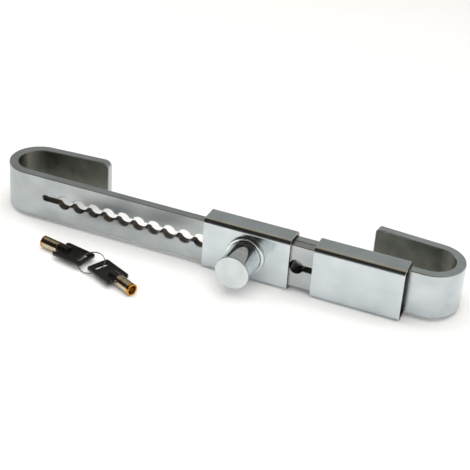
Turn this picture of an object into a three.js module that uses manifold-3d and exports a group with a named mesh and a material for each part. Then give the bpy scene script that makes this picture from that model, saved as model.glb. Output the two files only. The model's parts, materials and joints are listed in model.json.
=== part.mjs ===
// Two-hook door lock bar: two flat steel bars, each bent into a hook, overlap in a lock housing and a
// guide sleeve. The front bar slides in both and is held by a key-operated plunger lock.
// Millimetres, +Z up. X runs along the bars, Y = 0 is the plane where the two bars slide on each other,
// Z = 0 is the underside of the housing and sleeve, and the lock faces -Y.
import * as THREE from "three";
import { mergeVertices } from "three/addons/utils/BufferGeometryUtils.js";
import Module from "manifold-3d";

const wasm = await Module();
wasm.setup();

// ---- driving dimensions ----

const FIT = 0.3; // gap kept between neighbouring pieces

const BAR_WIDTH = 45; // the bars stand on edge, so this is their height
const BAR_THICKNESS = 9;
const BAR_GAP = 0.4; // between the two bars
const BAR_EDGE = 0.8; // rolled edge of the flat bar

const TUBE_WALL = 3; // square tube of the housing and the sleeve
const TUBE_CORNER = 5.6;
const SIDE_PLAY = 0.4; // between a bar and the tube wall beside it
const HEIGHT_PLAY = 1.7; // between a bar's edges and the tube
const TUBE_LENGTH = 87;
const SLEEVE_START = 66.5;

const HOOK_RADIUS = 30; // outside of the bend
const HOOK_FLARE = THREE.MathUtils.degToRad(4.3); // how far each return leg opens out
const HOOK_LEG = 66; // return leg, from the centre of the bend to its free end
const LEFT_BEND_X = -238;
const RIGHT_BEND_X = 168.5;
const LEFT_CORNER = 7; // rounding of the free corners of a return leg
const RIGHT_CORNER = 4;
const FRONT_BAR_END = 126;
const REAR_BAR_END = -40;

const LOCK_X = 1;
const HOLE_COUNT = 16;
const HOLE_AT_LOCK = 12; // holes to the left of the one that faces the bolt
const HOLE_PITCH = 16.25;
const HOLE_RADIUS = 6.9;
const SLOT_WIDTH = 5.6; // the narrow slot that joins the holes
const SLOT_RUN_OUT = 24; // slot beyond the first and the last hole

const COLLAR_RADIUS = 19;
const COLLAR_THICKNESS = 3.2;
const COLLAR_EDGE = 0.8;
const BARREL_RADIUS = 15.8;
const BARREL_BORE = 12.5;
const BARREL_LENGTH = 32.7;
const CAP_RADIUS = 16.6;
const CAP_THICKNESS = 1.7;
const CAP_EDGE = 0.5;
const CAP_SPIGOT = 3.3;
const SPIGOT_WALL = 2;

const BOLT_TRAVEL = 9;
const BOLT_RADIUS = 6.2;
const STEM_RADIUS = 2.4; // the bolt's thin end, which stays in the slot
const STEM_HOLE_RADIUS = 3; // in the rear bar
const PLUNGER_LENGTH = 19;
const POCKET_RADIUS = 10.5;
const POCKET_DEPTH = 8;
const BOLT_SEAT = 2.5;
const CORE_RADIUS = 8;
const CORE_LENGTH = 6.5;
const CORE_SET_BACK = 0.2; // behind the front of the plunger
const KEYWAY_RADIUS = 6;
const KEYWAY_DEPTH = 4.5;
const KEYWAY_NOTCH = { width: 2, height: 3, clear: 0.5 }; // for the nib on the key's tube
const SPINDLE_RADIUS = 3.1;
const SPINDLE_SET_BACK = 0.4;
const PIN_COUNT = 7;
const PIN_CIRCLE = 5;
const PIN_RADIUS = 0.55;
const PIN_PLAY = 0.2;
const PIN_LENGTH = 2.7;
const PIN_STANDS_OUT = 1.5; // of the keyway's floor
const GUIDE_PIN_RADIUS = 1.5;
const GUIDE_PIN_SET_BACK = 6; // from the plunger's back end
const GUIDE_PIN_ENDS = { inner: 0.5, outer: 0.2 }; // from the pocket's wall and the barrel's face
const SPRING_RADIUS = 8.6;
const SPRING_WIRE = 0.9;
const SPRING_TURNS = 4.5;
const WELD_SHORT_OF_BAR = 12; // how much shorter a weld is than the bar is wide

const KEY_TUBE_RADIUS = 5.8;
const KEY_TUBE_BORE = 4.2;
const KEY_TUBE_LENGTH = 20;
const KEY_BORE_DEPTH = 9;
const KEY_SHANK_RADIUS = 3.4;
const KEY_SHANK_LENGTH = 9.5;
const KEY_HEAD_LENGTH = 34.5;
const KEY_HEAD_WIDTH = 24.5;
const KEY_HEAD_THICKNESS = 3;
const KEY_HEAD_CORNER = 2.6;
const KEY_HEAD_EDGE = 0.5;
const KEY_NOTCH_WIDTH = 3; // beside the boss, at the tube's end of the head
const KEY_NOTCH_DEPTH = 3;
const KEY_SLOT_OFFSET = 7.8; // from the end of the head to where the ring crosses it
const KEY_SLOT_LENGTH = 15;
const KEY_SLOT_WIDTH = 4.8;
const KEY_SLOT_SHIFT = 0.95; // the slot's middle lies this far inside the ring
const KEY_A_TURN = THREE.MathUtils.degToRad(168);
const KEY_B_TURN = THREE.MathUtils.degToRad(-26);

const RING_RADIUS = 12.8;
const RING_WIRE = 0.7;
const RING_X = -134.8;
const RING_Y = -62.9;
const RING_TURN = THREE.MathUtils.degToRad(-13); // line through the two keys' slots
const RING_TILT = THREE.MathUtils.degToRad(22);

// ---- derived places ----

const TUBE_HALF_DEPTH = BAR_GAP / 2 + BAR_THICKNESS + SIDE_PLAY + TUBE_WALL;
const TUBE_HEIGHT = BAR_WIDTH + 2 * HEIGHT_PLAY + 2 * TUBE_WALL;
const BAR_MIDDLE = TUBE_HEIGHT / 2; // height of the bars' centre line, and of the lock's axis
const FRONT_FACE = -BAR_GAP / 2 - BAR_THICKNESS; // front face of the front bar
const FIRST_HOLE_X = LOCK_X - HOLE_AT_LOCK * HOLE_PITCH;
const LAST_HOLE_X = FIRST_HOLE_X + (HOLE_COUNT - 1) * HOLE_PITCH;
const BARREL_BASE = -TUBE_HALF_DEPTH - FIT;
const BARREL_END = BARREL_BASE - BARREL_LENGTH;
const PLUNGER_FRONT = BARREL_END + CAP_SPIGOT + FIT;
const PLUNGER_BACK = PLUNGER_FRONT + PLUNGER_LENGTH;
const POCKET_FLOOR = PLUNGER_BACK - POCKET_DEPTH;
const CORE_FRONT = PLUNGER_FRONT + CORE_SET_BACK;
const CORE_BACK = CORE_FRONT + CORE_LENGTH;
const BOLT_HEAD = POCKET_FLOOR - BOLT_SEAT + FIT;
const BOLT_SHOULDER = FRONT_FACE - 0.4; // where the thick part ends when the lock is open
const STEM_END = -BAR_GAP / 2;
const GUIDE_PIN_Y = PLUNGER_BACK - GUIDE_PIN_SET_BACK;

// ---- materials ----

function metal(color, roughness, metalness = 1) {
  return new THREE.MeshStandardMaterial({ color, roughness, metalness });
}

const CHROME = metal(0xb9c0c2, 0.18);
const CHROME_FACE = metal(0xc3cbcd, 0.3);
const WELD = metal(0x8a8a86, 0.5);
const LOCK_BRASS = metal(0xb08d4f, 0.35);
const HARDENED_STEEL = metal(0x9a9c9e, 0.3);
const SPRING_STEEL = metal(0x77797c, 0.35);
const KEY_NICKEL = metal(0xb99a63, 0.28);
const KEY_PLASTIC = metal(0x121214, 0.45, 0);

// ---- solids ----

// Turns a closed three.js geometry into a solid that can be joined and cut.
function solid(geometry, move = new THREE.Matrix4()) {
  const bare = geometry.clone().applyMatrix4(move);
  bare.deleteAttribute("normal");
  bare.deleteAttribute("uv");
  const merged = mergeVertices(bare, 1e-4);
  return new wasm.Manifold(
    new wasm.Mesh({
      numProp: 3,
      vertProperties: merged.attributes.position.array,
      triVerts: new Uint32Array(merged.index.array),
    }),
  );
}

function geometryOf(body) {
  const mesh = body.getMesh();
  const geometry = new THREE.BufferGeometry();
  geometry.setAttribute("position", new THREE.BufferAttribute(mesh.vertProperties, 3));
  geometry.setIndex(new THREE.BufferAttribute(mesh.triVerts, 1));
  geometry.computeVertexNormals();
  return geometry;
}

function moved(x, y, z, turnX = 0, turnY = 0, turnZ = 0) {
  const turn = new THREE.Quaternion().setFromEuler(new THREE.Euler(turnX, turnY, turnZ));
  return new THREE.Matrix4().compose(new THREE.Vector3(x, y, z), turn, new THREE.Vector3(1, 1, 1));
}

// Revolves pairs of (radius, y) about the line through LOCK_X that the lock moves along.
function lockTurning(profile, segments = 40) {
  const points = profile.map(([radius, y]) => new THREE.Vector2(radius, y));
  const geometry = new THREE.LatheGeometry(points, segments);
  return solid(geometry, moved(LOCK_X, 0, BAR_MIDDLE));
}

// A bar or a ring of given radii between two places along Y.
function lockRing(inner, outer, start, end, segments) {
  if (inner === 0) {
    return lockTurning([[0, start], [outer, start], [outer, end], [0, end]], segments);
  }
  return lockTurning(
    [[inner, start], [outer, start], [outer, end], [inner, end], [inner, start]],
    segments,
  );
}

// A cylinder along Y, used as a cutter through a bar or a wall.
function drill(radius, x, start, end, segments = 24) {
  const geometry = new THREE.CylinderGeometry(radius, radius, end - start, segments);
  return solid(geometry, moved(x, (start + end) / 2, BAR_MIDDLE));
}

function roundedRectangle(width, height, corner) {
  const shape = new THREE.Shape();
  const x = width / 2;
  const y = height / 2;
  shape.moveTo(-x + corner, -y);
  shape.absarc(x - corner, -y + corner, corner, -Math.PI / 2, 0);
  shape.absarc(x - corner, y - corner, corner, 0, Math.PI / 2);
  shape.absarc(-x + corner, y - corner, corner, Math.PI / 2, Math.PI);
  shape.absarc(-x + corner, -y + corner, corner, Math.PI, 1.5 * Math.PI);
  return shape;
}

// A slot with round ends that lies along X and is cut down through Z, put in its place.
function slotCutter(length, width, depth, place) {
  const almostHalf = width / 2.01; // a little under half, so that each end keeps a short flat
  const shape = roundedRectangle(length, width, almostHalf);
  const slot = new THREE.ExtrudeGeometry(shape, { depth, bevelEnabled: false, curveSegments: 8 });
  return solid(slot, place);
}

// ---- the two hook bars ----

// Plan of a bar whose hook is on the left: a straight run, a half-round bend and a flared leg.
// The straight run's outer face is y = 0 and the bend's centre is at the origin of x.
function hookPlan(runLength) {
  const inner = HOOK_RADIUS - BAR_THICKNESS;
  const legDirection = new THREE.Vector2(Math.cos(HOOK_FLARE), Math.sin(HOOK_FLARE));
  const outward = new THREE.Vector2(-legDirection.y, legDirection.x);
  const centre = new THREE.Vector2(0, HOOK_RADIUS);
  const legEnd = centre.clone().addScaledVector(legDirection, HOOK_LEG);
  const legOuter = legEnd.clone().addScaledVector(outward, HOOK_RADIUS);
  const legInner = legEnd.clone().addScaledVector(outward, inner);
  const bendEnd = Math.PI / 2 + HOOK_FLARE;
  const shape = new THREE.Shape();
  shape.moveTo(runLength, 0);
  shape.lineTo(runLength, BAR_THICKNESS);
  shape.absarc(0, HOOK_RADIUS, inner, 1.5 * Math.PI, bendEnd, true);
  shape.lineTo(legInner.x, legInner.y);
  shape.lineTo(legOuter.x, legOuter.y);
  shape.absarc(0, HOOK_RADIUS, HOOK_RADIUS, bendEnd, 1.5 * Math.PI, false);
  return shape;
}

// Rounds the two free corners of the return leg, in the plan's own place.
function legCorners(radius) {
  const shape = new THREE.Shape();
  shape.moveTo(1, 1);
  shape.lineTo(-radius, 1);
  shape.lineTo(-radius, 0);
  shape.absarc(-radius, -radius, radius, Math.PI / 2, 0, true);
  shape.lineTo(1, -radius);
  const depth = 3 * BAR_THICKNESS;
  const corner = new THREE.ExtrudeGeometry(shape, { depth, bevelEnabled: false, curveSegments: 8 });
  corner.rotateX(Math.PI / 2);
  const legMiddle = HOOK_RADIUS - BAR_THICKNESS / 2;
  const upper = moved(HOOK_LEG, legMiddle + depth / 2, BAR_WIDTH / 2);
  const lower = new THREE.Matrix4().makeRotationX(Math.PI);
  lower.setPosition(HOOK_LEG, legMiddle - depth / 2, -BAR_WIDTH / 2);
  const toLeg = moved(0, HOOK_RADIUS, 0, 0, 0, HOOK_FLARE);
  return [upper, lower].map((place) => solid(corner, toLeg.clone().multiply(place)));
}

function hookBar(runLength, corner) {
  const geometry = new THREE.ExtrudeGeometry(hookPlan(runLength), {
    depth: BAR_WIDTH - 2 * BAR_EDGE,
    bevelEnabled: true,
    bevelThickness: BAR_EDGE,
    bevelSize: BAR_EDGE,
    bevelOffset: -BAR_EDGE,
    bevelSegments: 1,
    curveSegments: 22,
  });
  let bar = solid(geometry, moved(0, 0, -BAR_WIDTH / 2 + BAR_EDGE));
  for (const cutter of legCorners(corner)) {
    bar = bar.subtract(cutter);
  }
  return bar;
}

function placed(body, matrix) {
  return solid(geometryOf(body), matrix);
}

function leftHookBar() {
  const blank = hookBar(FRONT_BAR_END - LEFT_BEND_X, LEFT_CORNER);
  let bar = placed(blank, moved(LEFT_BEND_X, FRONT_FACE, BAR_MIDDLE));
  const start = FRONT_FACE - 1;
  const end = 1;
  for (let i = 0; i < HOLE_COUNT; i += 1) {
    bar = bar.subtract(drill(HOLE_RADIUS, FIRST_HOLE_X + i * HOLE_PITCH, start, end));
  }
  const slotLength = LAST_HOLE_X - FIRST_HOLE_X + 2 * SLOT_RUN_OUT;
  const slotPlace = moved((FIRST_HOLE_X + LAST_HOLE_X) / 2, end, BAR_MIDDLE, Math.PI / 2);
  return bar.subtract(slotCutter(slotLength, SLOT_WIDTH, end - start, slotPlace));
}

function rightHookBar() {
  // The same hook turned half round about Y, so that it opens to the left.
  const blank = hookBar(RIGHT_BEND_X - REAR_BAR_END, RIGHT_CORNER);
  const bar = placed(blank, moved(RIGHT_BEND_X, BAR_GAP / 2, BAR_MIDDLE, 0, Math.PI));
  return bar.subtract(drill(STEM_HOLE_RADIUS, LOCK_X, -1, BAR_THICKNESS + 2));
}

// ---- housing, sleeve and their welds ----

function squareTube() {
  const shape = roundedRectangle(2 * TUBE_HALF_DEPTH, TUBE_HEIGHT, TUBE_CORNER);
  const inside = roundedRectangle(
    2 * (TUBE_HALF_DEPTH - TUBE_WALL),
    TUBE_HEIGHT - 2 * TUBE_WALL,
    TUBE_CORNER - TUBE_WALL,
  );
  shape.holes.push(inside);
  const geometry = new THREE.ExtrudeGeometry(shape, {
    depth: TUBE_LENGTH,
    bevelEnabled: false,
    curveSegments: 6,
  });
  geometry.applyMatrix4(
    new THREE.Matrix4().set(0, 0, 1, 0, 1, 0, 0, 0, 0, 1, 0, BAR_MIDDLE, 0, 0, 0, 1),
  );
  return solid(geometry);
}

function lockHousing() {
  const tube = placed(squareTube(), moved(-TUBE_LENGTH / 2, 0, 0));
  return tube.subtract(drill(BOLT_RADIUS + 0.5, LOCK_X, -TUBE_HALF_DEPTH - 1, FRONT_FACE));
}

function guideSleeve() {
  return placed(squareTube(), moved(SLEEVE_START, 0, 0));
}

// A fillet weld along Z between the end of a tube's back wall and the rear bar; side is +1 or -1.
function endWeld(x, side) {
  const leg = TUBE_WALL - FIT;
  const y = BAR_GAP / 2 + BAR_THICKNESS + FIT;
  const shape = new THREE.Shape();
  shape.moveTo(0, 0);
  shape.lineTo(leg * side, 0);
  shape.quadraticCurveTo(0.6 * leg * side, 0.6 * leg, 0, leg);
  const length = BAR_WIDTH - WELD_SHORT_OF_BAR;
  const geometry = new THREE.ExtrudeGeometry(shape, {
    depth: length,
    bevelEnabled: false,
    curveSegments: 4,
  });
  return solid(geometry, moved(x + FIT * side, y, BAR_MIDDLE - length / 2));
}

// ---- lock ----

function lockCollar() {
  const start = BARREL_BASE - COLLAR_THICKNESS;
  const inner = BARREL_RADIUS + FIT;
  return lockTurning([
    [inner, start],
    [COLLAR_RADIUS - COLLAR_EDGE, start],
    [COLLAR_RADIUS, start + COLLAR_EDGE],
    [COLLAR_RADIUS, BARREL_BASE],
    [inner, BARREL_BASE],
    [inner, start],
  ], 48);
}

// A cylinder along Z below the lock's axis, for the guide pin and its hole.
function radialPin(radius, lower, upper) {
  const geometry = new THREE.CylinderGeometry(radius, radius, upper - lower, 16);
  const place = moved(LOCK_X, GUIDE_PIN_Y, BAR_MIDDLE - (upper + lower) / 2, Math.PI / 2);
  return solid(geometry, place);
}

function lockBarrel() {
  const tube = lockRing(BARREL_BORE, BARREL_RADIUS, BARREL_END, BARREL_BASE, 48);
  return tube.subtract(radialPin(GUIDE_PIN_RADIUS + FIT, BARREL_BORE - 1, BARREL_RADIUS + 1));
}

function guidePin() {
  const inner = POCKET_RADIUS + GUIDE_PIN_ENDS.inner;
  return radialPin(GUIDE_PIN_RADIUS, inner, BARREL_RADIUS - GUIDE_PIN_ENDS.outer);
}

function barrelCap() {
  const back = BARREL_END - FIT;
  const face = back - CAP_THICKNESS;
  const spigot = BARREL_BORE - FIT;
  return lockTurning([
    [0, face],
    [CAP_RADIUS - CAP_EDGE, face],
    [CAP_RADIUS, face + CAP_EDGE],
    [CAP_RADIUS, back],
    [spigot, back],
    [spigot, back + CAP_SPIGOT],
    [spigot - SPIGOT_WALL, back + CAP_SPIGOT],
    [spigot - SPIGOT_WALL, back],
    [0, back],
  ], 48);
}

function plungerBody() {
  const body = lockTurning([
    [0, CORE_BACK + FIT],
    [CORE_RADIUS + FIT, CORE_BACK + FIT],
    [CORE_RADIUS + FIT, PLUNGER_FRONT],
    [BARREL_BORE - FIT, PLUNGER_FRONT],
    [BARREL_BORE - FIT, PLUNGER_BACK],
    [POCKET_RADIUS, PLUNGER_BACK],
    [POCKET_RADIUS, POCKET_FLOOR],
    [BOLT_RADIUS + FIT, POCKET_FLOOR],
    [BOLT_RADIUS + FIT, POCKET_FLOOR - BOLT_SEAT],
    [0, POCKET_FLOOR - BOLT_SEAT],
  ]);
  // The guide pin runs in a groove along the underside, as long as the bolt's travel.
  const width = 2 * (GUIDE_PIN_RADIUS + FIT);
  const length = BOLT_TRAVEL + width;
  const top = -POCKET_RADIUS + GUIDE_PIN_ENDS.outer;
  const height = BARREL_RADIUS - POCKET_RADIUS;
  const groove = new THREE.BoxGeometry(width, length, height);
  const y = GUIDE_PIN_Y - BOLT_TRAVEL / 2;
  const z = BAR_MIDDLE + top - height / 2;
  return body.subtract(solid(groove, moved(LOCK_X, y, z)));
}

function lockingBolt() {
  const lead = 0.8; // chamfer that finds the hole
  return lockTurning([
    [0, BOLT_HEAD],
    [BOLT_RADIUS, BOLT_HEAD],
    [BOLT_RADIUS, BOLT_SHOULDER - lead],
    [BOLT_RADIUS - lead, BOLT_SHOULDER],
    [STEM_RADIUS, BOLT_SHOULDER],
    [STEM_RADIUS, STEM_END - 0.5],
    [STEM_RADIUS - 0.5, STEM_END],
    [0, STEM_END],
  ], 32);
}

class Coil extends THREE.Curve {
  getPoint(t, target = new THREE.Vector3()) {
    const start = POCKET_FLOOR + FIT + SPRING_WIRE;
    const end = BARREL_BASE - SPRING_WIRE;
    const angle = 2 * Math.PI * SPRING_TURNS * t;
    return target.set(
      LOCK_X + SPRING_RADIUS * Math.cos(angle),
      start + (end - start) * t,
      BAR_MIDDLE + SPRING_RADIUS * Math.sin(angle),
    );
  }
}

function boltSpring() {
  const wire = new THREE.Shape();
  wire.absarc(0, 0, SPRING_WIRE, 0, 2 * Math.PI);
  const geometry = new THREE.ExtrudeGeometry(wire, {
    extrudePath: new Coil(),
    steps: Math.round(14 * SPRING_TURNS),
    curveSegments: 7,
    bevelEnabled: false,
  });
  return solid(geometry);
}

function pinAngle(index) {
  return Math.PI / 2 + ((index + 1) * 2 * Math.PI) / (PIN_COUNT + 1);
}

// A cylinder along Y on the circle of tumbler pins.
function onPinCircle(index, radius, start, end, segments) {
  const angle = pinAngle(index);
  const geometry = new THREE.CylinderGeometry(radius, radius, end - start, segments);
  const x = LOCK_X + PIN_CIRCLE * Math.cos(angle);
  const z = BAR_MIDDLE + PIN_CIRCLE * Math.sin(angle);
  return solid(geometry, moved(x, (start + end) / 2, z));
}

function lockCore() {
  const floor = CORE_FRONT + KEYWAY_DEPTH;
  const bore = SPINDLE_RADIUS + FIT;
  let core = lockTurning([
    [KEYWAY_RADIUS, CORE_FRONT],
    [CORE_RADIUS, CORE_FRONT],
    [CORE_RADIUS, CORE_BACK],
    [bore, CORE_BACK],
    [bore, floor],
    [KEYWAY_RADIUS, floor],
    [KEYWAY_RADIUS, CORE_FRONT],
  ]);
  for (let i = 0; i < PIN_COUNT; i += 1) {
    core = core.subtract(onPinCircle(i, PIN_RADIUS + PIN_PLAY, floor - 1, CORE_BACK + 1, 12));
  }
  const notch = new THREE.BoxGeometry(KEYWAY_NOTCH.width, KEYWAY_DEPTH, KEYWAY_NOTCH.height);
  const notchY = CORE_FRONT + KEYWAY_DEPTH / 2 - KEYWAY_NOTCH.clear;
  const notchPlace = moved(LOCK_X, notchY, BAR_MIDDLE + KEYWAY_RADIUS);
  return core.subtract(solid(notch, notchPlace));
}

function coreSpindle() {
  const front = CORE_FRONT + SPINDLE_SET_BACK;
  const edge = 0.4;
  return lockTurning([
    [0, front],
    [SPINDLE_RADIUS - edge, front],
    [SPINDLE_RADIUS, front + edge],
    [SPINDLE_RADIUS, CORE_BACK],
    [0, CORE_BACK],
  ], 24);
}

function tumblerPin(index) {
  const front = CORE_FRONT + KEYWAY_DEPTH - PIN_STANDS_OUT;
  return onPinCircle(index, PIN_RADIUS, front, front + PIN_LENGTH, 10);
}

// ---- keys, drawn with the slot's centre at the origin and the tube towards +X ----

const KEY_HEAD_END = KEY_HEAD_LENGTH - KEY_SLOT_OFFSET;

function alongKey(radius, start, end, segments = 24) {
  const geometry = new THREE.CylinderGeometry(radius, radius, end - start, segments);
  return solid(geometry, moved((start + end) / 2, 0, 0, 0, 0, Math.PI / 2));
}

function keyHead() {
  const plateShape = roundedRectangle(KEY_HEAD_LENGTH, KEY_HEAD_WIDTH, KEY_HEAD_CORNER);
  const plate = new THREE.ExtrudeGeometry(plateShape, {
    depth: KEY_HEAD_THICKNESS - 2 * KEY_HEAD_EDGE,
    bevelEnabled: true,
    bevelThickness: KEY_HEAD_EDGE,
    bevelSize: KEY_HEAD_EDGE,
    bevelOffset: -KEY_HEAD_EDGE,
    bevelSegments: 1,
    curveSegments: 5,
  });
  const depth = 2 * KEY_HEAD_THICKNESS;
  const middle = KEY_HEAD_LENGTH / 2 - KEY_SLOT_OFFSET;
  const bossRadius = KEY_TUBE_RADIUS - 0.1;
  const bossStart = KEY_HEAD_END - KEY_SHANK_LENGTH - 2;
  const notchY = bossRadius + KEY_NOTCH_WIDTH / 2 - 0.1; // a little into the boss, which covers its edge
  let head = solid(plate, moved(middle, 0, -KEY_HEAD_THICKNESS / 2 + KEY_HEAD_EDGE));
  for (const y of [notchY, -notchY]) {
    const notchPlace = moved(KEY_HEAD_END, y, -depth / 2);
    head = head.subtract(slotCutter(2 * KEY_NOTCH_DEPTH, KEY_NOTCH_WIDTH, depth, notchPlace));
  }
  const slotPlace = moved(-KEY_SLOT_SHIFT, 0, -depth / 2, 0, 0, Math.PI / 2);
  const bore = alongKey(KEY_SHANK_RADIUS + FIT, KEY_HEAD_END - KEY_SHANK_LENGTH - FIT, KEY_HEAD_END + 1);
  return head
    .subtract(slotCutter(KEY_SLOT_LENGTH, KEY_SLOT_WIDTH, depth, slotPlace))
    .add(alongKey(bossRadius, bossStart, KEY_HEAD_END))
    .subtract(bore);
}

function keyTube() {
  const start = KEY_HEAD_END + FIT;
  const end = start + KEY_TUBE_LENGTH;
  return alongKey(KEY_TUBE_RADIUS, start, end)
    .add(alongKey(KEY_SHANK_RADIUS, KEY_HEAD_END - KEY_SHANK_LENGTH, start + 1))
    .subtract(alongKey(KEY_TUBE_BORE, end - KEY_BORE_DEPTH, end + 1));
}

function keyRing() {
  return new THREE.TorusGeometry(RING_RADIUS, RING_WIRE, 8, 40);
}

// ---- assembly ----

function piece(name, material, shape) {
  const geometry = shape.isBufferGeometry ? shape : geometryOf(shape);
  const mesh = new THREE.Mesh(geometry, material);
  mesh.name = name;
  return mesh;
}

function keyGroup(letter, turn, side) {
  const group = new THREE.Group();
  group.position.set(
    RING_X + side * RING_RADIUS * Math.cos(RING_TURN),
    RING_Y + side * RING_RADIUS * Math.sin(RING_TURN),
    KEY_TUBE_RADIUS,
  );
  group.rotation.z = turn;
  group.add(piece(`key_${letter}_head`, KEY_PLASTIC, keyHead()));
  group.add(piece(`key_${letter}_tube`, KEY_NICKEL, keyTube()));
  return group;
}

function ringPiece() {
  const ring = piece("key_ring", SPRING_STEEL, keyRing());
  ring.position.set(RING_X, RING_Y, KEY_TUBE_RADIUS);
  ring.rotation.set(RING_TILT, 0, RING_TURN, "ZYX");
  return ring;
}

const part = new THREE.Group();

part.add(
  piece("right_hook_bar", CHROME, rightHookBar()),
  piece("left_hook_bar", CHROME, leftHookBar()),
  piece("lock_housing", CHROME, lockHousing()),
  piece("guide_sleeve", CHROME, guideSleeve()),
  piece("housing_weld", WELD, endWeld(TUBE_LENGTH / 2, 1)),
  piece("sleeve_weld_left", WELD, endWeld(SLEEVE_START, -1)),
  piece("sleeve_weld_right", WELD, endWeld(SLEEVE_START + TUBE_LENGTH, 1)),
  piece("lock_collar", CHROME, lockCollar()),
  piece("lock_barrel", CHROME, lockBarrel()),
  piece("guide_pin", HARDENED_STEEL, guidePin()),
  piece("barrel_cap", CHROME_FACE, barrelCap()),
  piece("plunger_body", LOCK_BRASS, plungerBody()),
  piece("locking_bolt", HARDENED_STEEL, lockingBolt()),
  piece("bolt_spring", SPRING_STEEL, boltSpring()),
  piece("lock_core", LOCK_BRASS, lockCore()),
  piece("core_spindle", HARDENED_STEEL, coreSpindle()),
);

for (let i = 0; i < PIN_COUNT; i += 1) {
  part.add(piece(`tumbler_pin_${i + 1}`, HARDENED_STEEL, tumblerPin(i)));
}

part.add(ringPiece(), keyGroup("a", KEY_A_TURN, -1), keyGroup("b", KEY_B_TURN, 1));

export default part;
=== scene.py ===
"""Looks of the two-hook door lock bar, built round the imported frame.

Metres, +Z up. X runs along the bars, the lock faces -Y, and the two square tubes stand on Z = 0."""

import json
import math

import bmesh
import bpy
from mathutils import Matrix, Vector

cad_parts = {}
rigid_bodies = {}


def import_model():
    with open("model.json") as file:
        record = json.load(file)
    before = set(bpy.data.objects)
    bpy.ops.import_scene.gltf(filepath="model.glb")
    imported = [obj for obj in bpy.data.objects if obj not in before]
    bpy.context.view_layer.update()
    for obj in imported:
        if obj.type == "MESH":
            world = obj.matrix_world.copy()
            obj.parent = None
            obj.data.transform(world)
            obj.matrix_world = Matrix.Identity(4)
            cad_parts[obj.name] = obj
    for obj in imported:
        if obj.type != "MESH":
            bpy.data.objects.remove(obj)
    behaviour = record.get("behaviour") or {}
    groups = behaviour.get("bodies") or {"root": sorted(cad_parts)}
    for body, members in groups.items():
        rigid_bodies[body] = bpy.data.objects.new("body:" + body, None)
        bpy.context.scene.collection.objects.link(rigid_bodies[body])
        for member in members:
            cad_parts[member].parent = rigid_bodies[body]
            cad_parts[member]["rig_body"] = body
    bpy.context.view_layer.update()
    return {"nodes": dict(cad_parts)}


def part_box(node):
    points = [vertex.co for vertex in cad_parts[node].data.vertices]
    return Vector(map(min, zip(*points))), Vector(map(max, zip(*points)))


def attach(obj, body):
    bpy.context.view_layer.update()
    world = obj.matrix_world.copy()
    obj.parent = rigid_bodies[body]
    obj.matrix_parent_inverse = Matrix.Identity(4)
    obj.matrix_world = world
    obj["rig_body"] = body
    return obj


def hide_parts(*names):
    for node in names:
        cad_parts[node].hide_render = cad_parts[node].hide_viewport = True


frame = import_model()
NODES = frame["nodes"]
SCENE = bpy.context.scene
MM = 0.001

# ---- camera: the view from the front, a little to the right and well above ----

CAMERA_PLACE = Vector((0.36259, -1.00837, 0.68646))
CAMERA_AZIMUTH = math.radians(20.579)
CAMERA_ELEVATION = math.radians(31.064)
CAMERA_ROLL = math.radians(4.209)
CAMERA_LENS = 102.09  # millimetres, on a sensor 36 mm wide
SENSOR_WIDTH = 36


def make_camera():
    data = bpy.data.cameras.new("studio_camera")
    data.lens = CAMERA_LENS
    data.sensor_width = SENSOR_WIDTH
    data.clip_start = 0.05
    data.clip_end = 50
    camera = bpy.data.objects.new("studio_camera", data)
    SCENE.collection.objects.link(camera)
    turn = Matrix.Rotation(CAMERA_AZIMUTH, 4, "Z")
    tilt = Matrix.Rotation(math.pi / 2 - CAMERA_ELEVATION, 4, "X")
    roll = Matrix.Rotation(CAMERA_ROLL, 4, "Z")
    camera.matrix_world = Matrix.Translation(CAMERA_PLACE) @ turn @ tilt @ roll
    SCENE.camera = camera


# ---- the real sizes that the frame's boxes don't give, in millimetres ----

BAR_THICKNESS = 9
HOOK_RADIUS = 30  # outside of the bend
HOOK_FLARE = math.radians(4.3)  # how far each return leg opens out
HOOK_LEG = 66
LEFT_CORNER = 7  # rounding of the free corners of a return leg
RIGHT_CORNER = 4
BAR_EDGE = 0.9  # rolled edge of the flat bar

HOLE_COUNT = 16
HOLES_LEFT_OF_LOCK = 12
HOLE_PITCH = 16.25
HOLE_RADIUS = 6.9
SLOT_HALF = 2.8
SLOT_RUN_OUT = 24
STEM_HOLE_RADIUS = 3

TUBE_WALL = 3
TUBE_CORNER = 5.6
TUBE_EDGE = 0.35

KEY_A_TURN = math.radians(168)
KEY_B_TURN = math.radians(-26)
RING_RADIUS = 12.8
RING_TURN = math.radians(-13)
RING_TILT = math.radians(22)
HEAD_LENGTH = 34.5
HEAD_WIDTH = 24.5
HEAD_THICKNESS = 3
HEAD_CORNER = 2.6
SLOT_OFFSET = 7.8  # from the end of the head to where the ring crosses it
KEY_SLOT = (4.8, 15)
KEY_SLOT_SHIFT = 0.95
KEY_TUBE_RADIUS = 5.8
KEY_TUBE_BORE = 4.2
KEY_TIP = 2.6  # end of the tube where the plate is rubbed away
KEY_TUBE_LENGTH = 20
KEY_BORE_DEPTH = 9
SHANK_RADIUS = 3.4
SHANK_LENGTH = 9.5


def middle(node):
    low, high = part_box(node)
    return (low + high) / 2 / MM


def size(node):
    low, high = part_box(node)
    return (high - low) / MM


LOCK_X = middle("lock_barrel").x
BAR_MIDDLE = middle("lock_barrel").z

# ---- outlines: lists of points in millimetres ----


def arc(centre, radius, start, end, steps):
    """Points on an arc between two angles in degrees, both ends included."""
    angles = [math.radians(start + (end - start) * i / steps) for i in range(steps + 1)]
    return [Vector((centre[0] + radius * math.cos(a), centre[1] + radius * math.sin(a))) for a in angles]


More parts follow.
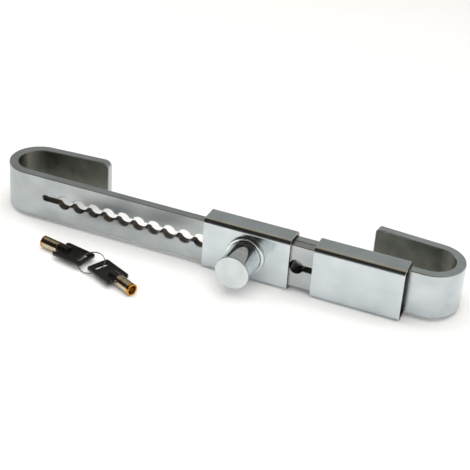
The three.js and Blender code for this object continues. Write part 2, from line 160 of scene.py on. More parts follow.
def rounded_rectangle(left, right, low, high, radii, steps=8):
    """An anticlockwise outline; the radii belong to its lower left, lower right, upper right and
    upper left corners."""
    corners = (
        (left, low, 1, 1, 180),
        (right, low, -1, 1, 270),
        (right, high, -1, -1, 0),
        (left, high, 1, -1, 90),
    )
    points = []
    for (x, y, to_x, to_y, start), radius in zip(corners, radii):
        centre = (x + to_x * radius, y + to_y * radius)
        points += arc(centre, radius, start, start + 90, steps)
    return points


def slot_outline(half_width, half_length, steps=12):
    """An anticlockwise slot with round ends along X, centred on the origin."""
    reach = half_length - half_width
    return arc((reach, 0), half_width, -90, 90, steps) + arc((-reach, 0), half_width, 90, 270, steps)


def scalloped_slot(first_x):
    """An anticlockwise outline of the row of holes and of the narrow slot that joins them."""
    open_angle = math.degrees(math.asin(SLOT_HALF / HOLE_RADIUS))
    holes = [first_x + i * HOLE_PITCH for i in range(HOLE_COUNT)]
    reach = SLOT_RUN_OUT - SLOT_HALF
    points = []
    for x in holes:
        points += arc((x, 0), HOLE_RADIUS, 180 + open_angle, 360 - open_angle, 20)
    points += arc((holes[-1] + reach, 0), SLOT_HALF, -90, 90, 12)
    for x in reversed(holes):
        points += arc((x, 0), HOLE_RADIUS, open_angle, 180 - open_angle, 20)
    return points + arc((holes[0] - reach, 0), SLOT_HALF, 90, 270, 12)


def inset(points, distance):
    """The closed outline moved to its left, which is where its material is."""
    moved = []
    for i, point in enumerate(points):
        before = (point - points[i - 1]).normalized()
        after = (points[(i + 1) % len(points)] - point).normalized()
        tangent = (before + after).normalized()
        normal = Vector((-tangent.y, tangent.x))
        stretch = max(normal.dot(Vector((-after.y, after.x))), 0.5)
        moved.append(point + normal * distance / stretch)
    return moved


def without_repeats(points):
    return [p for i, p in enumerate(points) if (p - points[i - 1]).length > 1e-4]


def softened(profile, steps=4):
    """Rounds the corners of a profile of (radius, height, rounding)."""
    points = []
    for i, (x, y, rounding) in enumerate(profile):
        here = Vector((x, y))
        if not rounding:
            points.append(here)
            continue
        before = Vector(profile[i - 1][:2])
        after = Vector(profile[(i + 1) % len(profile)][:2])
        start = here + (before - here).normalized() * rounding
        end = here + (after - here).normalized() * rounding
        for k in range(steps + 1):
            t = k / steps
            points.append(start * (1 - t) ** 2 + here * 2 * t * (1 - t) + end * t**2)
    return points


# ---- meshes, in millimetres until they are made into pieces ----


def plate(outline, holes, depth, edge, steps=3):
    """A blank of that depth, centred on Z = 0, with every edge rounded."""
    mesh = bmesh.new()
    half = depth / 2
    quarter = [math.pi / 2 * k / steps for k in range(steps + 1)]
    lower = [(edge * (1 - math.sin(a)), -half + edge * (1 - math.cos(a))) for a in quarter]
    levels = lower + [(distance, -height) for distance, height in reversed(lower)]
    rims = ([], [])
    for loop in [outline] + [list(reversed(hole)) for hole in holes]:
        loop = without_repeats(loop)
        rings = [
            [mesh.verts.new((p.x, p.y, height)) for p in inset(loop, distance)]
            for distance, height in levels
        ]
        for below, above in zip(rings, rings[1:]):
            for i in range(len(loop)):
                mesh.faces.new((below[i - 1], below[i], above[i], above[i - 1]))
        for rim, ring in zip(rims, (rings[0], rings[-1])):
            rim += [mesh.edges.get((ring[i - 1], ring[i])) for i in range(len(ring))]
    for rim in rims:
        bmesh.ops.triangle_fill(mesh, use_beauty=True, use_dissolve=False, edges=rim, normal=(0, 0, 1))
    return mesh


def revolved(profile, segments, closed, end_shift=None):
    """Revolves (radius, height) about Z; a point on the axis becomes one vertex. end_shift moves the
    highest points down by an amount that depends on the angle."""
    mesh = bmesh.new()
    top = max(p[1] for p in profile)
    rings = []
    for radius, height in profile:
        if radius < 1e-6:
            rings.append([mesh.verts.new((0, 0, height))] * segments)
            continue
        ring = []
        for i in range(segments):
            angle = 2 * math.pi * i / segments
            drop = end_shift(angle) if end_shift and height > top - 0.5 else 0
            ring.append(mesh.verts.new((radius * math.cos(angle), radius * math.sin(angle), height - drop)))
        rings.append(ring)
    pairs = list(zip(rings, rings[1:]))
    if closed:
        pairs.append((rings[-1], rings[0]))
    for low, high in pairs:
        for i in range(segments):
            corners = dict.fromkeys((low[i - 1], low[i], high[i], high[i - 1]))
            if len(corners) > 2:
                mesh.faces.new(list(corners))
    return mesh


def swept(points, radius, sides, axis):
    """A round wire along the points, its ends closed, for a path that goes round the axis."""
    mesh = bmesh.new()
    rings = []
    for i, point in enumerate(points):
        tangent = (points[min(i + 1, len(points) - 1)] - points[max(i - 1, 0)]).normalized()
        across = tangent.cross(axis).normalized()
        along = across.cross(tangent)
        angles = [2 * math.pi * k / sides for k in range(sides)]
        rings.append([
            mesh.verts.new(point + radius * (across * math.cos(a) + along * math.sin(a)))
            for a in angles
        ])
    for low, high in zip(rings, rings[1:]):
        for k in range(sides):
            mesh.faces.new((low[k - 1], low[k], high[k], high[k - 1]))
    mesh.faces.new(rings[0])
    mesh.faces.new(rings[-1])
    return mesh


def sliced(mesh, places):
    """Cuts the mesh across X at each place, so that it can bend there."""
    for x in places:
        everything = mesh.verts[:] + mesh.edges[:] + mesh.faces[:]
        bmesh.ops.bisect_plane(mesh, geom=everything, dist=1e-5, plane_co=(x, 0, 0), plane_no=(1, 0, 0))


def piece(name, mesh, node, material, place=Matrix.Identity(4), crease=32, additions=(), cutters=()):
    """Makes a mesh in millimetres into a piece that rides with its CAD node and stands for it. What is
    added to it and cut from it is in millimetres too, and in the part's own place."""
    mesh.transform(Matrix.Scale(MM, 4) @ place)
    bmesh.ops.recalc_face_normals(mesh, faces=mesh.faces)
    data = bpy.data.meshes.new(name)
    for finish in material if isinstance(material, tuple) else (material,):
        data.materials.append(finish)
    mesh.to_mesh(data)
    mesh.free()
    made = bpy.data.objects.new(name, data)
    SCENE.collection.objects.link(made)
    for addition in additions:
        combine(made, addition, "UNION")
    for cutter in cutters:
        combine(made, cutter, "DIFFERENCE")
    data = made.data
    data.polygons.foreach_set("use_smooth", [True] * len(data.polygons))
    data.set_sharp_from_angle(angle=math.radians(crease))
    even = made.modifiers.new("even_shading", "WEIGHTED_NORMAL")
    even.keep_sharp = True
    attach(made, NODES[node]["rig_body"])
    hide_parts(node)
    return made


def combine(made, other, operation):
    """Joins a closed mesh in millimetres, which is used up, to a piece or cuts it away."""
    other.transform(Matrix.Scale(MM, 4))
    bmesh.ops.recalc_face_normals(other, faces=other.faces)
    data = bpy.data.meshes.new("tool")
    other.to_mesh(data)
    other.free()
    for finish in made.data.materials:
        data.materials.append(finish)
    tool = bpy.data.objects.new("tool", data)
    SCENE.collection.objects.link(tool)
    step = made.modifiers.new("combine", "BOOLEAN")
    step.operation = operation
    step.solver = "EXACT"
    step.object = tool
    graph = bpy.context.evaluated_depsgraph_get()
    result = bpy.data.meshes.new_from_object(made.evaluated_get(graph))
    made.modifiers.clear()
    made.data = result
    bpy.data.objects.remove(tool)


# ---- materials ----


def linear(code):
    """An sRGB hex colour as the linear colour that a node takes."""
    channels = [int(code[i : i + 2], 16) / 255 for i in (1, 3, 5)]
    curved = [c / 12.92 if c <= 0.04045 else ((c + 0.055) / 1.055) ** 2.4 for c in channels]
    return (*curved, 1)


def every(size_mm):
    """The scale of a pattern in metres whose marks are that many millimetres apart."""
    return 1 / (size_mm * MM)


def add(tree, kind, inputs=None, **settings):
    """Adds one node with its settings; an input is a value or the output that feeds it."""
    made = tree.nodes.new("ShaderNode" + kind)
    for name, value in settings.items():
        setattr(made, name, value)
    for socket, value in (inputs or {}).items():
        if isinstance(value, bpy.types.NodeSocket):
            tree.links.new(value, made.inputs[socket])
        else:
            made.inputs[socket].default_value = value
    return made


def new_material(name):
    material = bpy.data.materials.new(name)
    material.use_nodes = True
    tree = material.node_tree
    tree.nodes.clear()
    shader = add(tree, "BsdfPrincipled")
    output = add(tree, "OutputMaterial", {"Surface": shader.outputs["BSDF"]})
    output.location = (300, 0)
    return material, tree, shader


def spread(tree, value, low, high):
    """Turns a value from 0 to 1 into one from low to high."""
    return add(tree, "MapRange", {"Value": value, "To Min": low, "To Max": high}).outputs["Result"]


def noise(tree, place, size_mm, detail=3.0, contrast=(0.3, 0.7)):
    """A noise of that grain, stretched to fill 0 to 1."""
    made = add(tree, "TexNoise", {"Vector": place, "Scale": every(size_mm), "Detail": detail})
    fitted = {"Value": made.outputs["Fac"], "From Min": contrast[0], "From Max": contrast[1]}
    return add(tree, "MapRange", fitted).outputs["Result"]


def stretched(tree, scale):
    """Object coordinates squeezed so that a pattern lies in long streaks."""
    place = add(tree, "TexCoord").outputs["Object"]
    return add(tree, "Mapping", {"Vector": place, "Scale": scale}).outputs["Vector"]


def edge_mask(tree, radius_mm):
    """1 on edges and 0 on open faces, from how far a rounded normal leans away from the true one; it places
    the painted edge highlights, and on plated steel the smoother polished edges.
    """
    rounded = add(tree, "Bevel", {"Radius": radius_mm * MM}, samples=4).outputs["Normal"]
    true = add(tree, "NewGeometry").outputs["Normal"]
    agree = add(tree, "VectorMath", {0: rounded, 1: true}, operation="DOT_PRODUCT").outputs["Value"]
    return add(tree, "MapRange", {"Value": agree, "From Min": 0.995, "From Max": 0.9}).outputs["Result"]


def mixed(tree, share, first, second):
    made = add(tree, "Mix", data_type="RGBA")
    for socket, value in ((0, share), (6, first), (7, second)):
        if isinstance(value, bpy.types.NodeSocket):
            tree.links.new(value, made.inputs[socket])
        else:
            made.inputs[socket].default_value = value
    return made.outputs[2]


def bump(tree, height, depth_mm, strength=1.0):
    inputs = {"Height": height, "Distance": depth_mm * MM, "Strength": strength}
    return add(tree, "Bump", inputs).outputs["Normal"]


def feed(tree, shader, **outputs):
    for socket, value in outputs.items():
        tree.links.new(value, shader.inputs[socket.replace("_", " ")])


def plated_steel(name, deep, pale, edge, roughness):
    """Chrome plate on rolled steel: the steel was linished before plating, so flat faces are an even satin
    with soft clouding; edges, polished harder, are smoother, and their colour is painted paler as a
    highlight."""
    material, tree, shader = new_material(name)
    shader.inputs["Metallic"].default_value = 1
    place = add(tree, "TexCoord").outputs["Object"]
    clouds = noise(tree, place, 26, 3)
    streaks = noise(tree, stretched(tree, (0.1, 1, 1)), 2.2, 3)
    orange_peel = noise(tree, place, 5, 1)
    edge_highlight = edge_mask(tree, 0.9)
    face = mixed(tree, clouds, linear(deep), linear(pale))
    lined = mixed(tree, spread(tree, streaks, 0, 0.12), face, linear(edge))
    # Painted highlight: every edge is painted paler, towards the edge colour.
    feed(tree, shader, Base_Color=mixed(tree, spread(tree, edge_highlight, 0, 0.8), lined, linear(edge)))
    satin = spread(tree, clouds, roughness[1], roughness[0])
    # Edges are also made smoother where polishing was harder, which is real polish and not painted light.
    polished = add(tree, "Mix", {0: spread(tree, edge_highlight, 0, 0.8), 2: satin, 3: 0.1}).outputs[0]
    feed(tree, shader, Roughness=polished, Normal=bump(tree, orange_peel, 0.006))
    return material


def shaded_plating(name, deep, pale, roughness):
    """Painted shade: inside a hook and in the holes, the plate is given darker, brown-grey colours that stand
    in for the shade there. They are mottled at random, and the plate is dull."""
    material, tree, shader = new_material(name)
    shader.inputs["Metallic"].default_value = 1
    place = add(tree, "TexCoord").outputs["Object"]
    stain = noise(tree, place, 14, 4)
    feed(tree, shader, Base_Color=mixed(tree, stain, linear(deep), linear(pale)))
    feed(tree, shader, Roughness=spread(tree, stain, *roughness))
    feed(tree, shader, Normal=bump(tree, noise(tree, place, 3, 3), 0.01))
    return material


def polished_chrome(name):
    """Chrome plate on turned and polished steel: near mirror, with the finest rings of the lathe
    left round it and a soft haze."""
    material, tree, shader = new_material(name)
    shader.inputs["Metallic"].default_value = 1
    rings = noise(tree, stretched(tree, (0.03, 1, 0.03)), 0.8, 3)
    haze = noise(tree, add(tree, "TexCoord").outputs["Object"], 6, 3)
    feed(tree, shader, Base_Color=mixed(tree, haze, linear("#cdd2d4"), linear("#dfe3e4")))
    feed(tree, shader, Roughness=spread(tree, rings, 0.05, 0.11))
    feed(tree, shader, Normal=bump(tree, rings, 0.0015))
    return material


def brushed_cap(name):
    """Satin-chromed pressed cap: brushed flat, so it shows an even pale grey with a fine grain."""
    material, tree, shader = new_material(name)
    shader.inputs["Metallic"].default_value = 1
    grain = noise(tree, stretched(tree, (0.06, 1, 1)), 0.5, 4)
    clouds = noise(tree, add(tree, "TexCoord").outputs["Object"], 9, 3)
    feed(tree, shader, Base_Color=mixed(tree, clouds, linear("#c6cccd"), linear("#d3d9da")))
    feed(tree, shader, Roughness=spread(tree, grain, 0.3, 0.42))
    feed(tree, shader, Normal=bump(tree, grain, 0.004))
    return material


def saw_cut_end(name):
    """Sawn end of a plated tube: the plate is thin there, so a brown tarnish comes through."""
    material, tree, shader = new_material(name)
    shader.inputs["Metallic"].default_value = 1
    marks = noise(tree, stretched(tree, (1, 1, 0.1)), 0.9, 3)
    stain = noise(tree, add(tree, "TexCoord").outputs["Object"], 5, 4)
    feed(tree, shader, Base_Color=mixed(tree, stain, linear("#6b4a2c"), linear("#b09a84")))
    feed(tree, shader, Roughness=spread(tree, marks, 0.25, 0.5))
    feed(tree, shader, Normal=bump(tree, marks, 0.03))
    return material


def weld_metal(name):
    """Weld bead under the plating: rippled, a little burnt and rougher than the bar."""
    material, tree, shader = new_material(name)
    shader.inputs["Metallic"].default_value = 1
    place = add(tree, "TexCoord").outputs["Object"]
    scale = noise(tree, place, 1.2, 5)
    feed(tree, shader, Base_Color=mixed(tree, scale, linear("#77746c"), linear("#a9aaa6")))
    feed(tree, shader, Roughness=spread(tree, scale, 0.32, 0.6))
    feed(tree, shader, Normal=bump(tree, scale, 0.08))
    return material


def machined_metal(name, deep, pale, roughness, ring_mm, depth_mm):
    """Metal as it leaves the lathe: fine rings round it, which catch the light as a soft sheen."""
    material, tree, shader = new_material(name)
    shader.inputs["Metallic"].default_value = 1
    rings = noise(tree, stretched(tree, (0.05, 1, 0.05)), ring_mm, 3)
    stain = noise(tree, add(tree, "TexCoord").outputs["Object"], 4, 4)
    feed(tree, shader, Base_Color=mixed(tree, stain, linear(deep), linear(pale)))
    feed(tree, shader, Roughness=spread(tree, rings, *roughness))
    feed(tree, shader, Normal=bump(tree, rings, depth_mm))
    return material


def nickel_on_brass(name, deep, pale):
    """Thin nickel plate on a brass key tube: silver with a warm cast, drawn along its length, and
    yellow where a lock has rubbed it through."""
    material, tree, shader = new_material(name)
    shader.inputs["Metallic"].default_value = 1
    place = add(tree, "TexCoord").outputs["Object"]
    rub = noise(tree, place, 3, 4)
    feed(tree, shader, Base_Color=mixed(tree, rub, linear(deep), linear(pale)))
    feed(tree, shader, Roughness=spread(tree, rub, 0.1, 0.2))
    feed(tree, shader, Normal=bump(tree, rub, 0.004))
    return material


def moulded_abs(name):
    """Black ABS, injection moulded with a fine spark-eroded grain: dark, with a soft broad shine, and edges
    painted lighter as a highlight."""
    material, tree, shader = new_material(name)
    shader.inputs["IOR"].default_value = 1.54
    place = add(tree, "TexCoord").outputs["Object"]
    # The real grain is near 0.1 mm; it is drawn at 0.35 mm so that it shows.
    grain = noise(tree, place, 0.35, 2)
    scuffs = noise(tree, place, 5, 5, (0.45, 0.75))
    edge_highlight = edge_mask(tree, 0.6)
    body = mixed(tree, scuffs, linear("#030303"), linear("#08080a"))
    # Painted highlight: the edges are painted lighter, towards #26282a.
    feed(tree, shader, Base_Color=mixed(tree, spread(tree, edge_highlight, 0, 0.5), body, linear("#26282a")))
    feed(tree, shader, Roughness=spread(tree, scuffs, 0.3, 0.42))
    feed(tree, shader, Normal=bump(tree, grain, 0.02, 0.6))
    return material


# ---- the two hook bars ----


def bent(place_along, height, outward):
    """A point of the flat blank on the bent bar. The straight run starts at 0 and goes along +X with
    its outer face at y = 0; before it come the bend and then the return leg."""
    half = BAR_THICKNESS / 2
    centre_line = HOOK_RADIUS - half
    turn = math.pi - HOOK_FLARE
    radius = centre_line + outward
    if place_along >= 0:
        return Vector((place_along, half - outward, height))
    angle = min(-place_along / centre_line, turn)
    x = -radius * math.sin(angle)
    y = HOOK_RADIUS - radius * math.cos(angle)
    beyond = -place_along - angle * centre_line
    return Vector((x + beyond * math.cos(HOOK_FLARE), y + beyond * math.sin(HOOK_FLARE), height))


def bent_bar(run, corner, holes):
    """The flat blank, cut to shape and then bent into its hook. The inside of the hook is its second
    material and the walls of its holes the third; both are darker plate, painted shade."""
    bend_length = (math.pi - HOOK_FLARE) * (HOOK_RADIUS - BAR_THICKNESS / 2)
    half_width = size("left_hook_bar").z / 2
    sawn = 0.6  # rounding of the sawn end's corners
    outline = rounded_rectangle(
        -bend_length - HOOK_LEG, run, -half_width, half_width, (corner, sawn, sawn, corner)
    )
    blank = plate(outline, holes, BAR_THICKNESS, BAR_EDGE)
    steps = 44
    sliced(blank, [-bend_length * i / steps for i in range(steps + 1)])
    # Masks for the painted shade: the inner face of the hook, then the walls of the holes and the slot.
    for face in blank.faces:
        centre = face.calc_center_median()
        in_the_row = centre.x > 0 and abs(centre.y) < HOLE_RADIUS + BAR_EDGE
        between_faces = abs(centre.z) < BAR_THICKNESS / 2 - BAR_EDGE
        if centre.x < 0 and centre.z < -BAR_THICKNESS / 2 + 0.01:
            face.material_index = 1
        elif in_the_row and between_faces:
            face.material_index = 2
    for vertex in blank.verts:
        vertex.co = bent(*vertex.co)
    return blank


def make_left_hook_bar(material):
    low, high = (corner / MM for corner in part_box("left_hook_bar"))
    bend_x = low.x + HOOK_RADIUS
    first_hole = LOCK_X - HOLES_LEFT_OF_LOCK * HOLE_PITCH - bend_x
    bar = bent_bar(high.x - bend_x, LEFT_CORNER, [scalloped_slot(first_hole)])
    place = Matrix.Translation((bend_x, low.y, BAR_MIDDLE))
    piece("left_hook_bar_plated", bar, "left_hook_bar", material, place)


def make_right_hook_bar(material):
    low, high = (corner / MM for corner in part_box("right_hook_bar"))
    bend_x = high.x - HOOK_RADIUS
    stem_hole = arc((bend_x - LOCK_X, 0), STEM_HOLE_RADIUS, 0, 360, 24)
    bar = bent_bar(bend_x - low.x, RIGHT_CORNER, [stem_hole])
    place = Matrix.Translation((bend_x, low.y, BAR_MIDDLE)) @ Matrix.Rotation(math.pi, 4, "Y")
    piece("right_hook_bar_plated", bar, "right_hook_bar", material, place)


# ---- housing, sleeve and welds ----


def square_tube(node):
    """A length of square tube along X, with sawn ends as the second material."""
    extent = size(node)
    half_depth = extent.y / 2
    half_height = extent.z / 2
    outer = rounded_rectangle(-half_depth, half_depth, -half_height, half_height, [TUBE_CORNER] * 4, 10)
    inside = (half_depth - TUBE_WALL, half_height - TUBE_WALL)
    inner = rounded_rectangle(-inside[0], inside[0], -inside[1], inside[1], [TUBE_CORNER - TUBE_WALL] * 4, 6)
    tube = plate(outer, [inner], extent.x, TUBE_EDGE)
    for face in tube.faces:
        if all(abs(v.co.z) > extent.x / 2 - 0.01 for v in face.verts):
            face.material_index = 1
    return tube


def along_x(centre):
    """Puts a mesh's Z along X, its X along Y and its Y along Z, round a centre."""
    axes = Matrix(((0, 0, 1, 0), (1, 0, 0, 0), (0, 1, 0, 0), (0, 0, 0, 1)))
    return Matrix.Translation(centre) @ axes


def make_tubes(materials):
    housing = middle("lock_housing")
    bore = 6.7  # radius of the hole through the housing's front wall, behind the lock
    depth = 10
    start_y = -18  # in front of the housing
    drill = revolved([(0, 0), (bore, 0), (bore, depth), (0, depth)], 48, False)
    lying = Matrix.Rotation(-math.pi / 2, 4, "X")
    drill.transform(Matrix.Translation((LOCK_X, start_y, BAR_MIDDLE)) @ lying)
    tube = square_tube("lock_housing")
    place = along_x(housing)
    piece("lock_housing_tube", tube, "lock_housing", materials, place, cutters=[drill])
    sleeve = middle("guide_sleeve")
    piece(
        "guide_sleeve_tube",
        square_tube("guide_sleeve"),
        "guide_sleeve",
        materials,
        along_x(sleeve),
    )


def make_welds(material):
    """Fillet beads, rippled as the welder moved along."""
    ripple = 1.6
    for node in ("housing_weld", "sleeve_weld_left", "sleeve_weld_right"):
        low, high = (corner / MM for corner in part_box(node))
        side = -1 if node == "sleeve_weld_left" else 1
        root_x = low.x if side > 0 else high.x
        leg = high.x - low.x
        steps = int((high.z - low.z) / ripple * 6)
        bead = bmesh.new()
        rings = []
        for i in range(steps + 1):
            z = low.z + (high.z - low.z) * i / steps
            wave = 0.9 + 0.1 * math.cos(2 * math.pi * (z - low.z) / ripple)
            end = min(1, 4 * i / steps + 0.4, 4 * (steps - i) / steps + 0.4)
            reach = leg * wave * end
            outline = [(0, 0)] + [(p.x, p.y) for p in arc((0, 0), reach, 0, 90, 6)]
            rings.append([
                bead.verts.new((root_x + side * x * 0.98, low.y + y * 0.98, z))
                for x, y in outline
            ])
        for below, above in zip(rings, rings[1:]):
            for k in range(len(below)):
                bead.faces.new((below[k - 1], below[k], above[k], above[k - 1]))
        bead.faces.new(rings[0])
        bead.faces.new(rings[-1])
        piece(node + "_bead", bead, node, material, crease=60)


# ---- lock ----

LOCK_AXIS = Matrix.Translation((LOCK_X, 0, BAR_MIDDLE)) @ Matrix.Rotation(-math.pi / 2, 4, "X")


def turned(name, node, profile, material, closed=True, segments=96, cutters=()):
    """A piece turned about the lock's axis, from (radius, y, rounding)."""
    mesh = revolved(softened(profile), segments, closed)
    return piece(name, mesh, node, material, LOCK_AXIS, cutters=cutters)


def make_lock(chrome, cap_finish):
    low, high = (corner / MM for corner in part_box("lock_collar"))
    radius = (high.x - low.x) / 2
    bore = 16.1
    turned("lock_collar_ring", "lock_collar", [
        (bore, low.y, 0.4), (radius, low.y, 1.3), (radius, high.y, 0.3), (bore, high.y, 0.2),
    ], chrome)

    low, high = (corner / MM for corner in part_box("lock_barrel"))
    radius = (high.x - low.x) / 2
    bore = 12.5
    pin = middle("guide_pin")
    pin_bore = 1.8
    reach = 6
    pin_hole = revolved([(0, -reach), (pin_bore, -reach), (pin_bore, reach), (0, reach)], 32, False)
    pin_hole.transform(Matrix.Translation((pin.x, pin.y, BAR_MIDDLE - 14.2)))
    turned("lock_barrel_tube", "lock_barrel", [
        (bore, low.y, 0.3), (radius, low.y, 0.4), (radius, high.y, 0.4), (bore, high.y, 0.3),
    ], chrome, cutters=[pin_hole])

    low, high = (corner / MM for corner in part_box("barrel_cap"))
    radius = (high.x - low.x) / 2
    rim_back = low.y + 1.7
    spigot = 12.2
    turned("barrel_cap_disc", "barrel_cap", [
        (0, low.y, 0), (radius, low.y, 0.7), (radius, rim_back, 0.3), (spigot, rim_back, 0),
        (spigot, high.y, 0.3), (spigot - 2, high.y, 0.3), (spigot - 2, rim_back, 0), (0, rim_back, 0),
    ], cap_finish, closed=False)


# ---- keys and ring ----


def key_place(side, turn):
    ring = middle("key_ring")
    across = Vector((math.cos(RING_TURN), math.sin(RING_TURN), 0)) * RING_RADIUS * side
    return Matrix.Translation(ring + across) @ Matrix.Rotation(turn, 4, "Z")


HEAD_END = HEAD_LENGTH - SLOT_OFFSET


def key_head():
    """The flat grip with its ring slot, notched beside the round boss that holds the tube."""
    notch = 1.5
    boss = KEY_TUBE_RADIUS - 0.1
    half = HEAD_WIDTH / 2
    start = HEAD_END - HEAD_LENGTH
    round_end = arc((HEAD_END - HEAD_CORNER, -half + HEAD_CORNER), HEAD_CORNER, -90, 0, 6)
    low_side = arc((start + HEAD_CORNER, -half + HEAD_CORNER), HEAD_CORNER, 180, 270, 6) + round_end
    low_notch = arc((HEAD_END - notch, -boss - notch), notch, -90, -270, 8)
    lower = low_side + [Vector((HEAD_END, -boss - 2 * notch))] + low_notch + [Vector((HEAD_END, -boss))]
    upper = [Vector((p.x, -p.y)) for p in reversed(lower)]
    sides = slot_outline(KEY_SLOT[0] / 2, KEY_SLOT[1] / 2)
    slot = [Vector((p.y - KEY_SLOT_SHIFT, p.x)) for p in reversed(sides)]
    return plate(lower + upper, [slot], HEAD_THICKNESS, 0.55)


def along_key(profile, place, segments=48, end_shift=None):
    """A shape turned about the key's own X axis, put in its place."""
    mesh = revolved(softened(profile), segments, False, end_shift)
    mesh.transform(place @ Matrix.Rotation(math.pi / 2, 4, "Y"))
    return mesh


def key_boss(place):
    radius = KEY_TUBE_RADIUS - 0.1
    start = HEAD_END - SHANK_LENGTH - 2
    return along_key([(0, start, 0), (radius, start, 1.6), (radius, HEAD_END, 0.5), (0, HEAD_END, 0)], place)


def shank_bore(place):
    radius = SHANK_RADIUS + 0.3
    start = HEAD_END - SHANK_LENGTH - 0.3
    end = HEAD_END + 1
    return along_key([(0, start, 0), (radius, start, 0), (radius, end, 0), (0, end, 0)], place)


BITTING = (0.4, 0.15, 0.5, 0.25, 0.45, 0.2, 0.3)  # depth of each of the seven cuts round the tube's rim
CUT_HALF_ANGLE = math.radians(7)


def rim_cut(angle):
    """How deep the rim of the key's tube is cut at that angle."""
    for i, depth in enumerate(BITTING):
        centre = 2 * math.pi * (i + 1) / (len(BITTING) + 1)
        if abs(angle - centre) < CUT_HALF_ANGLE:
            return depth
    return 0


def key_tube():
    """The tube and its thinner shank; the rubbed tip is the second material."""
    start = HEAD_END + 0.3
    end = start + KEY_TUBE_LENGTH
    floor = end - KEY_BORE_DEPTH
    shank = HEAD_END - SHANK_LENGTH
    mesh = along_key([
        (0, shank, 0), (SHANK_RADIUS, shank, 0.4), (SHANK_RADIUS, start, 0), (KEY_TUBE_RADIUS, start, 0.3),
        (KEY_TUBE_RADIUS, end - KEY_TIP, 0), (KEY_TUBE_RADIUS, end, 0.35), (KEY_TUBE_BORE, end, 0.25),
        (KEY_TUBE_BORE, end - KEY_TIP, 0), (KEY_TUBE_BORE, floor, 0.4), (0, floor, 0),
    ], Matrix.Identity(4), 96, rim_cut)
    for face in mesh.faces:
        if face.calc_center_median().x > end - KEY_TIP:
            face.material_index = 1
    return mesh


def make_keys(plastic, tube_finishes):
    for letter, turn, side in (("a", KEY_A_TURN, -1), ("b", KEY_B_TURN, 1)):
        place = key_place(side, turn)
        piece(
            f"key_{letter}_grip", key_head(), f"key_{letter}_head", plastic, place,
            additions=[key_boss(place)], cutters=[shank_bore(place)],
        )
        tube = key_tube()
        piece(f"key_{letter}_nickel_tube", tube, f"key_{letter}_tube", tube_finishes, place)


def make_ring(material):
    """A split ring: two turns of wire side by side, crossing over in one short stretch."""
    wire = 0.35
    turns = 4 * math.pi - 0.7
    steps = 190
    crossing = (2 * math.pi - 0.6, 2 * math.pi)
    points = []
    for i in range(steps + 1):
        angle = turns * i / steps
        share = min(max((angle - crossing[0]) / (crossing[1] - crossing[0]), 0), 1)
        side = (2 * share**2 * (3 - 2 * share) - 1) * wire
        points.append(Vector((RING_RADIUS * math.cos(angle), RING_RADIUS * math.sin(angle), side)))
    mesh = swept(points, wire * 0.98, 10, Vector((0, 0, 1)))
    turn = Matrix.Rotation(RING_TURN, 4, "Z") @ Matrix.Rotation(RING_TILT, 4, "X")
    start = Matrix.Rotation(math.radians(200), 4, "Z")
    place = Matrix.Translation(middle("key_ring")) @ turn @ start
    piece("key_split_ring", mesh, "key_ring", material, place, crease=50)


# ---- studio ----


def make_floor():
    half = 6
    mesh = bmesh.new()
    corners = [mesh.verts.new((x * half, y * half, -0.0003)) for x, y in ((-1, -1), (1, -1), (1, 1), (-1, 1))]
    mesh.faces.new(corners)
    data = bpy.data.meshes.new("studio_floor")
    mesh.to_mesh(data)
    mesh.free()
    floor = bpy.data.objects.new("studio_floor", data)
    SCENE.collection.objects.link(floor)
    material, tree, shader = new_material("white_paper_floor")
    fibres = noise(tree, add(tree, "TexCoord").outputs["Object"], 4, 4)
    feed(tree, shader, Base_Color=mixed(tree, fibres, linear("#efefee"), linear("#f3f3f3")))
    shader.inputs["Roughness"].default_value = 0.9
    shader.inputs["Specular IOR Level"].default_value = 0.1
    data.materials.append(material)


def softbox(name, place, target, width, power):
    """A broad lamp that lights but isn't mirrored, because the room already holds the panels."""
    data = bpy.data.lights.new(name, "AREA")
    data.shape = "SQUARE"
    data.size = width
    data.energy = power
    light = bpy.data.objects.new(name, data)
    light.location = place
    light.rotation_mode = "QUATERNION"
    light.rotation_quaternion = (Vector(place) - Vector(target)).to_track_quat("Z", "Y")
    light.visible_glossy = False
    SCENE.collection.objects.link(light)


def ramp(tree, height, stops):
    """A colour that depends on how high the direction points, from stops of (sine of elevation, colour)."""
    made = add(tree, "ValToRGB", {"Fac": height})
    elements = made.color_ramp.elements
    while len(elements) < len(stops):
        elements.new(0.5)
    for element, (position, code) in zip(elements, stops):
        element.position = position
        element.color = linear(code)
    return made.outputs["Color"]


def make_room():
    """The room that the chrome mirrors: in front a dark wall up to a warm ceiling, with a white panel
    low on the right, and mid grey behind."""
    world = bpy.data.worlds.new("studio_room")
    world.use_nodes = True
    tree = world.node_tree
    tree.nodes.clear()
    place = add(tree, "TexCoord").outputs["Generated"]
    parts = add(tree, "SeparateXYZ", {"Vector": place}).outputs
    left = ramp(tree, parts["Z"], ((0.0, "#3c3a36"), (0.7, "#2c2a27"), (0.94, "#3a3833"), (1.0, "#c0b29c")))
    right = ramp(tree, parts["Z"], (
        (0.0, "#ffffff"), (0.3, "#f4f4f2"), (0.36, "#2c2a27"), (0.94, "#3a3833"), (1.0, "#c0b29c"),
    ))
    back = ramp(tree, parts["Z"], (
        (0.0, "#c9cbcb"), (0.3, "#a9abaa"), (0.52, "#a6a7a5"), (0.8, "#b8b2a6"), (1.0, "#c0b29c"),
    ))
    across = {"Value": parts["X"], "From Min": -0.35, "From Max": 0.25}
    to_right = add(tree, "MapRange", across).outputs["Result"]
    front = mixed(tree, to_right, left, right)
    away = {"Value": parts["Y"], "From Min": -0.12, "From Max": 0.12}
    to_back = add(tree, "MapRange", away).outputs["Result"]
    colour = mixed(tree, to_back, front, back)
    background = add(tree, "Background", {"Color": colour, "Strength": 1.0})
    add(tree, "OutputWorld", {"Surface": background.outputs["Background"]})
    SCENE.world = world


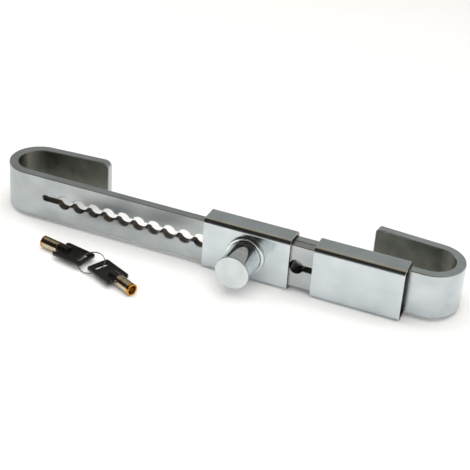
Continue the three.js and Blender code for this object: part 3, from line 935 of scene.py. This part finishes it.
def make_studio():
    make_floor()
    make_room()
    softbox("overhead_softbox", (0.35, -0.1, 1.9), (0.1, 0, 0), 2.6, 44)
    softbox("front_softbox", (0.2, -1.7, 1.0), (0, 0, 0), 1.6, 17)
    softbox("left_softbox", (-1.6, 0.1, 1.1), (-0.1, 0, 0), 1.6, 12)
    SCENE.view_settings.view_transform = "Standard"


# ---- making ----

make_camera()
make_studio()

front_plate = plated_steel("chrome_plated_flat_bar", "#a3a8a9", "#b3b9bb", "#d8dedf", (0.28, 0.34))
# The rear bar's plate is a paler copy of the flat bar's: painted light, for the brighter light on the
# right-hand hook. Its lower roughness is its own.
rear_plate_painted_paler = plated_steel("chrome_plated_rear_bar_painted_paler", "#b6bdc0", "#c8cfd3", "#e2e6e8", (0.2, 0.28))
tube_plate = plated_steel("chrome_plated_square_tube", "#bcc4c7", "#ccd3d6", "#e2e6e8", (0.15, 0.22))
# Painted shade: darker plate inside the hooks and on the walls of the holes.
hook_inside_shade = shaded_plating("painted_shade_inside_hook", "#6b6c64", "#85867c", (0.3, 0.42))
bore_wall_shade = shaded_plating("painted_shade_in_holes", "#45413b", "#625b51", (0.3, 0.45))
sawn_end = saw_cut_end("sawn_tube_end")
bead_metal = weld_metal("plated_weld_bead")
barrel_chrome = polished_chrome("polished_chrome_turning")
cap_satin = brushed_cap("satin_chrome_cap")
lock_brass = machined_metal("turned_brass", "#9c7636", "#c39a52", (0.2, 0.36), 0.7, 0.01)
hard_steel = machined_metal("ground_hardened_steel", "#85888b", "#a9acae", (0.16, 0.3), 0.5, 0.006)
spring_wire = machined_metal("drawn_spring_wire", "#8c857b", "#b5ada2", (0.18, 0.32), 0.9, 0.008)
key_nickel = nickel_on_brass("nickel_plated_brass", "#a8967a", "#cfc3ad")
key_tip = nickel_on_brass("rubbed_brass_tip", "#b87a22", "#dca043")
key_plastic = moulded_abs("black_abs")

make_left_hook_bar((front_plate, hook_inside_shade, bore_wall_shade))
make_right_hook_bar((rear_plate_painted_paler, hook_inside_shade, bore_wall_shade))
make_tubes((tube_plate, sawn_end))
make_welds(bead_metal)
make_lock(barrel_chrome, cap_satin)
make_keys(key_plastic, (key_nickel, key_tip))
make_ring(spring_wire)

INNER_FINISHES = {
    "plunger_body": lock_brass,
    "lock_core": lock_brass,
    "locking_bolt": hard_steel,
    "core_spindle": hard_steel,
    "guide_pin": hard_steel,
    "bolt_spring": spring_wire,
}
INNER_FINISHES.update({node: hard_steel for node in NODES if node.startswith("tumbler_pin")})
for node, finish in INNER_FINISHES.items():
    NODES[node].data.materials.clear()
    NODES[node].data.materials.append(finish)
